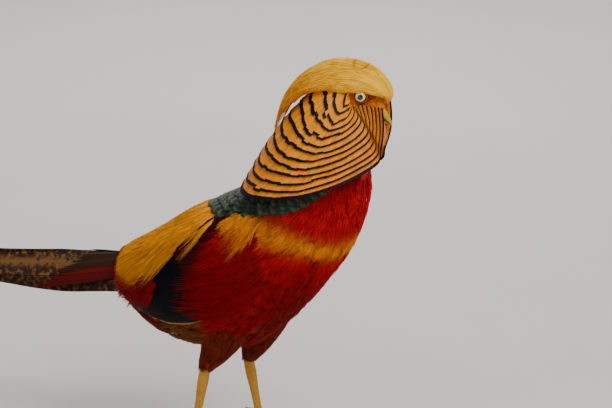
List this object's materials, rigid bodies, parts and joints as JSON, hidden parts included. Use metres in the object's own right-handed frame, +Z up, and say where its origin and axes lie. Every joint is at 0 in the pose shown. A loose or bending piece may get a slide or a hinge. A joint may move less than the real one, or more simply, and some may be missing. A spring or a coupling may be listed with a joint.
{
  "type": "golden pheasant model",
  "caption": "Life-size standing golden pheasant cock with crest, barred cape, folded wings and a long swept tail.",
  "frame": {"origin": "bottom centre of the bird's box, on the floor", "axes": "+X the way the body faces, +Y the bird's left, +Z up"},
  "size_m": [0.8302, 0.2492, 0.3417],
  "materials": {
    "crest_feathers": "silky golden yellow feathers",
    "bill": "dull yellow horn",
    "eye": "wet pale yellow iris and black pupil",
    "cape_feathers": "orange feathers barred blue-black",
    "body_feathers": "scarlet below, golden on the back, green on the mantle",
    "wing_feathers": "maroon and blue-black feathers",
    "tail_feathers": "dark brown feathers mottled with cinnamon",
    "thigh_feathers": "dark brownish red hair-like feathers",
    "leg_skin": "yellow scaled skin",
    "claw": "brown horn"
  },
  "bodies": {
    "root": {"head": "crest_feathers", "bill_upper": "bill", "bill_lower": "bill", "eye_left": "eye", "eye_right": "eye", "neck": "cape_feathers", "torso": "body_feathers", "wing_left": "wing_feathers", "wing_right": "wing_feathers", "tail": "tail_feathers", "thigh_left": "thigh_feathers", "thigh_right": "thigh_feathers", "tarsus_left": "leg_skin", "tarsus_right": "leg_skin", "spur_left": "claw", "spur_right": "claw", "foot_left": "leg_skin", "foot_right": "leg_skin", "claw_middle_left": "claw", "claw_inner_left": "claw", "claw_outer_left": "claw", "claw_hind_left": "claw", "claw_middle_right": "claw", "claw_inner_right": "claw", "claw_outer_right": "claw", "claw_hind_right": "claw"}
  },
  "joints": []
}
